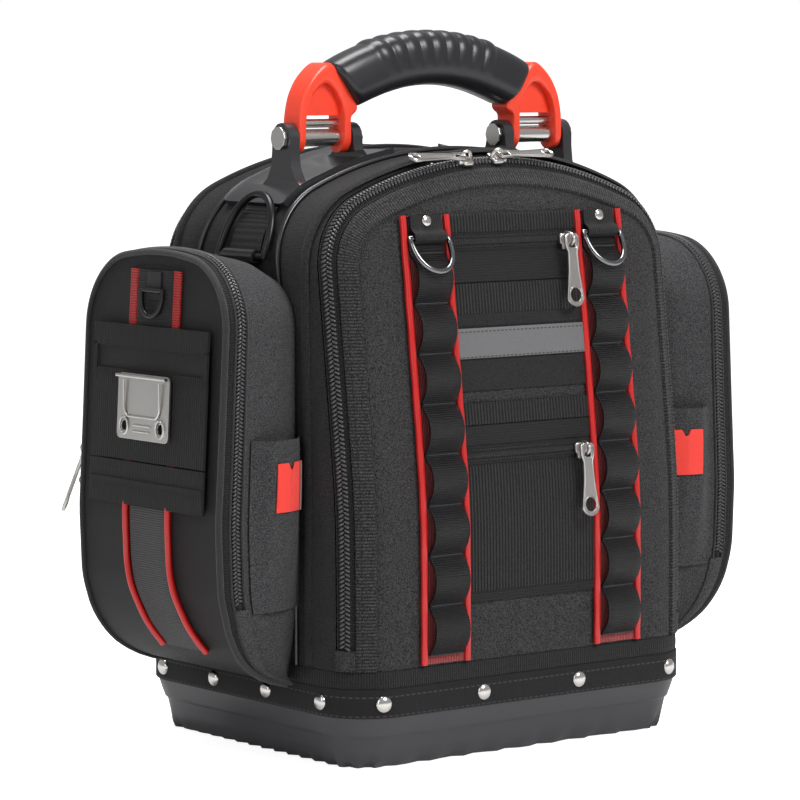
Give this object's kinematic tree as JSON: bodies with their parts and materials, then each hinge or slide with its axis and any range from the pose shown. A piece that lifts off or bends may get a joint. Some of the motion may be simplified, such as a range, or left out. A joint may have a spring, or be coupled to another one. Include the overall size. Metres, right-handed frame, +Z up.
{
  "type": "tool backpack",
  "caption": "Tool backpack with a hard moulded base, a hinged padded handle, webbing loops for tools on the front, zipped pouches on both sides and padded shoulder straps.",
  "frame": {"origin": "middle of the base's flat underside", "axes": "+X to the right along the bag's width, +Y from the front with the tool loops to the back with the shoulder straps, +Z up"},
  "size_m": [0.4048, 0.2888, 0.423],
  "materials": {
    "cloth": "coarse dark grey woven cloth",
    "webbing": "ribbed black webbing",
    "heather": "heathered grey twill",
    "zip": "black coil and tape",
    "red": "red woven tape",
    "orange": "satin moulded",
    "plastic": "satin moulded",
    "rubber": "ribbed moulded",
    "metal": "satin nickel",
    "black_metal": "black",
    "reflective": "grey reflective tape"
  },
  "bodies": {
    "bag": {"back_pad": "cloth", "back_panel": "cloth", "base_band": "cloth", "base_tray": "plastic", "centre_section": "cloth", "clip_plate_left": "metal", "clip_plate_right": "metal", "d_ring_tab_left": "webbing", "d_ring_tab_right": "webbing", "front_cover": "cloth", "front_d_ring_left": "metal", "front_d_ring_right": "metal", "front_gusset": "cloth", "front_zip": "zip", "handle_bracket_left": "plastic", "handle_bracket_right": "plastic", "handle_pin_left": "metal", "handle_pin_right": "metal", "lower_pocket": "webbing", "lower_zip": "zip", "pouch_cover_left": "cloth", "pouch_cover_right": "cloth", "pouch_d_ring_left": "black_metal", "pouch_d_ring_right": "black_metal", "pouch_gusset_left": "heather", "pouch_gusset_right": "heather", "pouch_panel_left": "webbing", "pouch_panel_right": "webbing", "pouch_strap_left": "red", "pouch_strap_right": "red", "pouch_zip_left": "zip", "pouch_zip_right": "zip", "rear_gusset": "cloth", "rear_zip": "zip", "red_tab_left": "red", "red_tab_right": "red", "red_tape_left": "red", "red_tape_right": "red", "reflective_strip": "reflective", "shoulder_strap_left": "cloth", "shoulder_strap_right": "cloth", "slip_pocket_left": "cloth", "slip_pocket_right": "cloth", "tool_loops_left": "webbing", "tool_loops_right": "webbing", "top_ring_left": "black_metal", "top_ring_right": "black_metal", "top_ring_tab_left": "webbing", "top_ring_tab_right": "webbing", "upper_pocket": "webbing", "upper_zip": "zip"},
    "handle": {"handle_arm_left": "orange", "handle_arm_right": "orange", "handle_grip": "rubber"},
    "upper_zip_pull": {"upper_zip_pull": "metal"},
    "lower_zip_pull": {"lower_zip_pull": "metal"},
    "pouch_pull_upper_left": {"pouch_pull_upper_left": "metal"},
    "pouch_pull_lower_left": {"pouch_pull_lower_left": "metal"},
    "pouch_pull_upper_right": {"pouch_pull_upper_right": "metal"},
    "pouch_pull_lower_right": {"pouch_pull_lower_right": "metal"}
  },
  "joints": [
    {"name": "handle_swing", "type": "hinge", "parent": "bag", "child": "handle", "pos_m": [0, -0.009, 0.3595], "axis": [1, 0, 0], "range_deg": [-60, 60]},
    {"name": "upper_zip_pull_swing", "type": "hinge", "parent": "bag", "child": "upper_zip_pull", "pos_m": [0.038, -0.09937, 0.3], "axis": [-1, 0, 0], "range_deg": [0, 150]},
    {"name": "lower_zip_pull_swing", "type": "hinge", "parent": "bag", "child": "lower_zip_pull", "pos_m": [0.038, -0.11426, 0.177], "axis": [-1, 0, 0], "range_deg": [0, 150]},
    {"name": "pouch_pull_upper_left_swing", "type": "hinge", "parent": "bag", "child": "pouch_pull_upper_left", "pos_m": [-0.18918, 0.07616, 0.176], "axis": [0.6428, 0.766, 0], "range_deg": [0, 130]},
    {"name": "pouch_pull_lower_left_swing", "type": "hinge", "parent": "bag", "child": "pouch_pull_lower_left", "pos_m": [-0.19009, 0.07616, 0.157], "axis": [0.6428, 0.766, 0], "range_deg": [0, 28]},
    {"name": "pouch_pull_upper_right_swing", "type": "hinge", "parent": "bag", "child": "pouch_pull_upper_right", "pos_m": [0.18918, 0.07616, 0.176], "axis": [0.6428, -0.766, 0], "range_deg": [0, 130]},
    {"name": "pouch_pull_lower_right_swing", "type": "hinge", "parent": "bag", "child": "pouch_pull_lower_right", "pos_m": [0.19009, 0.07616, 0.157], "axis": [0.6428, -0.766, 0], "range_deg": [0, 28]}
  ]
}
